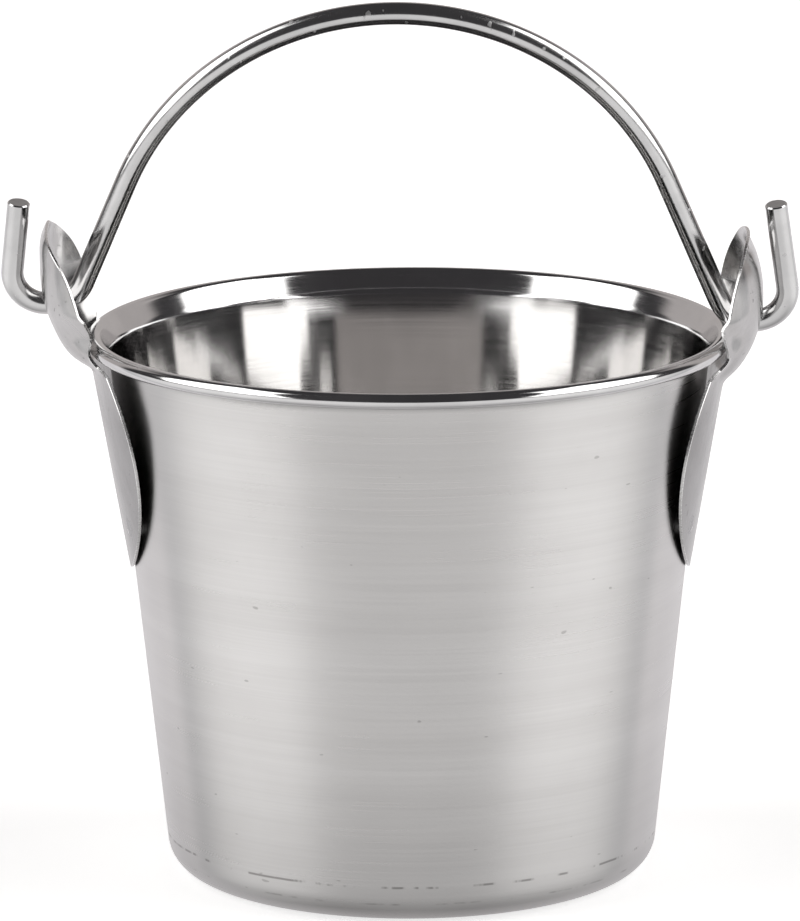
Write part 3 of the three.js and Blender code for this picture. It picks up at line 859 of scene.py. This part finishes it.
def wire_path():
    """(x, z, heading) along the wire's centre line, with the bail upright."""
    lean = math.radians(LEFT["hook_lean"])
    bottom_x = BAIL_SHIFT - LEFT["hook_reach"] + HOOK_RADIUS * (1 - math.cos(lean))
    tip_x = bottom_x + hook_length(LEFT) * math.sin(lean)
    here = np.array([tip_x, LEFT["pivot_height"] + LEFT["hook_height"]])
    heading = -90 - LEFT["hook_lean"]
    line = [(*here, heading)]
    for kind, size, angle in wire_moves():
        if kind == "run":
            steps = max(1, round(size / (2 * WIRE_STEP)))
            for _ in range(steps):
                here = here + toward(heading) * size / steps
                line.append((*here, heading))
            continue
        first = heading - math.copysign(90, angle)
        centre = here - size * toward(first)
        steps = max(BEND_STEPS_LEAST, round(math.radians(abs(angle)) * size / WIRE_STEP))
        for k in range(1, steps + 1):
            turned = angle * k / steps
            here = centre + size * toward(first + turned)
            line.append((*here, heading + turned))
        heading += angle
    return line


def wire_stations():
    """(x, z, heading, radius) of the wire's rings, with both sawn ends chamfered."""
    line = wire_path()
    (*first, first_heading), (*last, last_heading) = line[0], line[-1]
    narrow = WIRE_RADIUS - WIRE_CHAMFER
    after_first = np.array(first) + toward(first_heading) * WIRE_CHAMFER
    before_last = np.array(last) - toward(last_heading) * WIRE_CHAMFER
    return [
        (*first, first_heading, narrow), (*after_first, first_heading, WIRE_RADIUS),
        *((*place, WIRE_RADIUS) for place in line[1:-1]),
        (*before_last, last_heading, WIRE_RADIUS), (*last, last_heading, narrow),
    ]


def wire_surface():
    """The wire's points, leaning as at rest, and the length and girth at each of them in metres."""
    pivot = Vector((BAIL_SHIFT - LEFT["hook_reach"], 0, LEFT["pivot_height"] + WIRE_DROP))
    far = Vector((BAIL_SHIFT + RIGHT["hook_reach"], 0, RIGHT["pivot_height"] + WIRE_DROP))
    lean = Matrix.Rotation(math.radians(BAIL_LEAN), 3, (far - pivot).normalized())
    points, coords = [], []
    length, before = 0.0, None
    for x, z, heading, radius in wire_stations():
        here = np.array([x, z])
        length += 0 if before is None else float(np.hypot(*(here - before)))
        before = here
        for k in range(WIRE_SIDES):
            a = 2 * math.pi * k / WIRE_SIDES
            flat = here + toward(heading + 90) * radius * math.cos(a)
            spot = Vector((flat[0], radius * math.sin(a), flat[1]))
            points.append(tuple(lean @ (spot - pivot) + pivot))
            coords.append((length * MM, radius * a * MM))
    return points, coords


def add_wire_coordinate(piece, coords):
    """A UV layer of length and girth, with the girth running on where a face closes the round."""
    full = 2 * math.pi * WIRE_RADIUS * MM
    layer = piece.data.uv_layers.new(name="wire")
    for polygon in piece.data.polygons:
        closes = max(coords[v][1] for v in polygon.vertices) > 0.75 * full
        for loop in polygon.loop_indices:
            length, girth = coords[piece.data.loops[loop].vertex_index]
            layer.data[loop].uv = (length, full if closes and girth == 0 else girth)


def build_bail(wire, sawn):
    points, coords = wire_surface()
    rings = [list(range(start, start + WIRE_SIDES)) for start in range(0, len(points), WIRE_SIDES)]
    faces = []
    bridge(faces, rings)
    slots = [0] * len(faces) + [1, 1]
    faces += [tuple(rings[0]), tuple(rings[-1][::-1])]
    piece = make_piece(
        "bail_wire", points, faces, [wire, sawn], slots, "bail", "bail", sharp=30,
    )
    add_wire_coordinate(piece, coords)


# ------------------------------------------------------------------ camera, floor and light
def build_camera():
    data = bpy.data.cameras.new("camera")
    data.lens = CAMERA_LENS
    data.sensor_width = CAMERA_SENSOR
    data.clip_start, data.clip_end = CAMERA_RANGE
    camera = bpy.data.objects.new("camera", data)
    bpy.context.scene.collection.objects.link(camera)
    forward = Vector(CAMERA_AIM).normalized()
    side = forward.cross(Vector((0, 0, 1))).normalized()
    up = side.cross(forward)
    cosine, sine = math.cos(CAMERA_ROLL), math.sin(CAMERA_ROLL)
    right, top = cosine * side + sine * up, cosine * up - sine * side
    turned = Matrix((right, top, -forward)).transposed().to_4x4()
    camera.matrix_world = Matrix.Translation(CAMERA_PLACE) @ turned
    bpy.context.scene.camera = camera


def build_floor():
    """A white floor that lets the light from below through to the pail's reflections."""
    corners = [(-FLOOR_HALF, -FLOOR_HALF), (FLOOR_HALF, -FLOOR_HALF)]
    corners += [(-x, -y) for x, y in corners]
    mesh = bpy.data.meshes.new("floor")
    mesh.from_pydata([(x, y, 0) for x, y in corners], [], [(0, 1, 2, 3)])
    material, n = new_material("white_floor", (FLOOR_WHITE,) * 3)
    shader = n.add("ShaderNodeBsdfPrincipled")
    shader.inputs["Base Color"].default_value = (FLOOR_WHITE, FLOOR_WHITE, FLOOR_WHITE, 1)
    shader.inputs["Roughness"].default_value = 0.9
    shader.inputs["Specular IOR Level"].default_value = 0.1
    shader.inputs["Emission Color"].default_value = (1, 1, 1, 1)
    shader.inputs["Emission Strength"].default_value = FLOOR_GLOW
    output = n.add("ShaderNodeOutputMaterial")
    n.link(shader.outputs[0], output.inputs["Surface"])
    mesh.materials.append(material)
    floor = bpy.data.objects.new("floor", mesh)
    floor.location.z = -FLOOR_DROP
    floor.visible_glossy = False
    floor.visible_shadow = False
    bpy.context.scene.collection.objects.link(floor)


def radians(angles):
    return [math.radians(angle) for angle in angles]


def studio_lights(n, around, level):
    """(amount, tint) of each light in the direction (around, level)."""
    tilt = n.times(n.math("SUBTRACT", level, math.radians(SOFTBOX_TILT_LEVEL)), SOFTBOX_TILT)
    softbox = n.times(n.band(n.math("SUBTRACT", around, tilt), *radians(SOFTBOX_AROUND)),
                      n.band(level, *radians(SOFTBOX_LEVEL)))
    backdrop = n.times(n.ramp(around, *radians(BACKDROP_AROUND)),
                       n.ramp(level, *radians(BACKDROP_LEVEL), 1.0, 0.0))
    sweep = n.times(n.ramp(level, *radians(SWEEP_HORIZON), 1.0, 0.0),
                    n.ramp(level, *radians(SWEEP_DOWN), SWEEP_LEAST, 1.0))
    sides = n.times(n.times(sweep, n.band(around, *radians(SIDE_AROUND))),
                    n.ramp(level, *radians(SIDE_DOWN), *SIDE_LIGHT))
    behind = n.times(sweep, n.ramp(around, *radians(BEHIND_AROUND)))
    return (
        (n.times(softbox, SOFTBOX_LIGHT), WARM_WHITE),
        (n.times(backdrop, BACKDROP_LIGHT), BACKDROP_TINT),
        (n.times(sweep, SWEEP_LIGHT), PALE_WHITE),
        (sides, PALE_WHITE),
        (n.times(behind, BEHIND_LIGHT), BEHIND_TINT),
    )


def build_studio_light():
    """Two tall side softboxes, a pale sweep below that dims behind, a grey backdrop and a dark front.

    The camera itself sees plain white.
    """
    world = bpy.data.worlds.new("studio")
    world.use_nodes = True
    bpy.context.scene.world = world
    n = Nodes(world.node_tree)
    x, y, z = n.split(n.add("ShaderNodeTexCoord").outputs["Generated"])
    around = n.math("ABSOLUTE", n.math("ARCTAN2", x, n.times(y, -1)))
    level = n.math("ARCSINE", z)
    room = n.vector(*ROOM)
    for amount, tint in studio_lights(n, around, level):
        room = n.add_light(room, amount, tint)
    background = n.add("ShaderNodeBackground")
    n.link(room, background.inputs["Color"])
    plain = n.add("ShaderNodeBackground")
    plain.inputs["Color"].default_value = (1, 1, 1, 1)
    chosen = n.add("ShaderNodeMixShader")
    n.link(n.add("ShaderNodeLightPath").outputs["Is Camera Ray"], chosen.inputs[0])
    n.link(background.outputs[0], chosen.inputs[1])
    n.link(plain.outputs[0], chosen.inputs[2])
    output = n.add("ShaderNodeOutputWorld")
    n.link(chosen.outputs[0], output.inputs["Surface"])
    world.cycles.sampling_method = "MANUAL"
    world.cycles.sample_map_resolution = 512
    bpy.context.scene.view_settings.view_transform = "Standard"


# ------------------------------------------------------------------ build
build_camera()
build_floor()
build_studio_light()

build_shell(shell_outside(), shell_inside(), rim_steel())
pressed, sheared, welded = ear_steel(), edge_steel(), weld_steel()
for ear in (LEFT, RIGHT):
    build_ear(ear, pressed, sheared)
    for name, place in WELD_PLACES.items():
        build_weld(ear, name, place, welded)
build_bail(wire_steel(), sawn_steel())
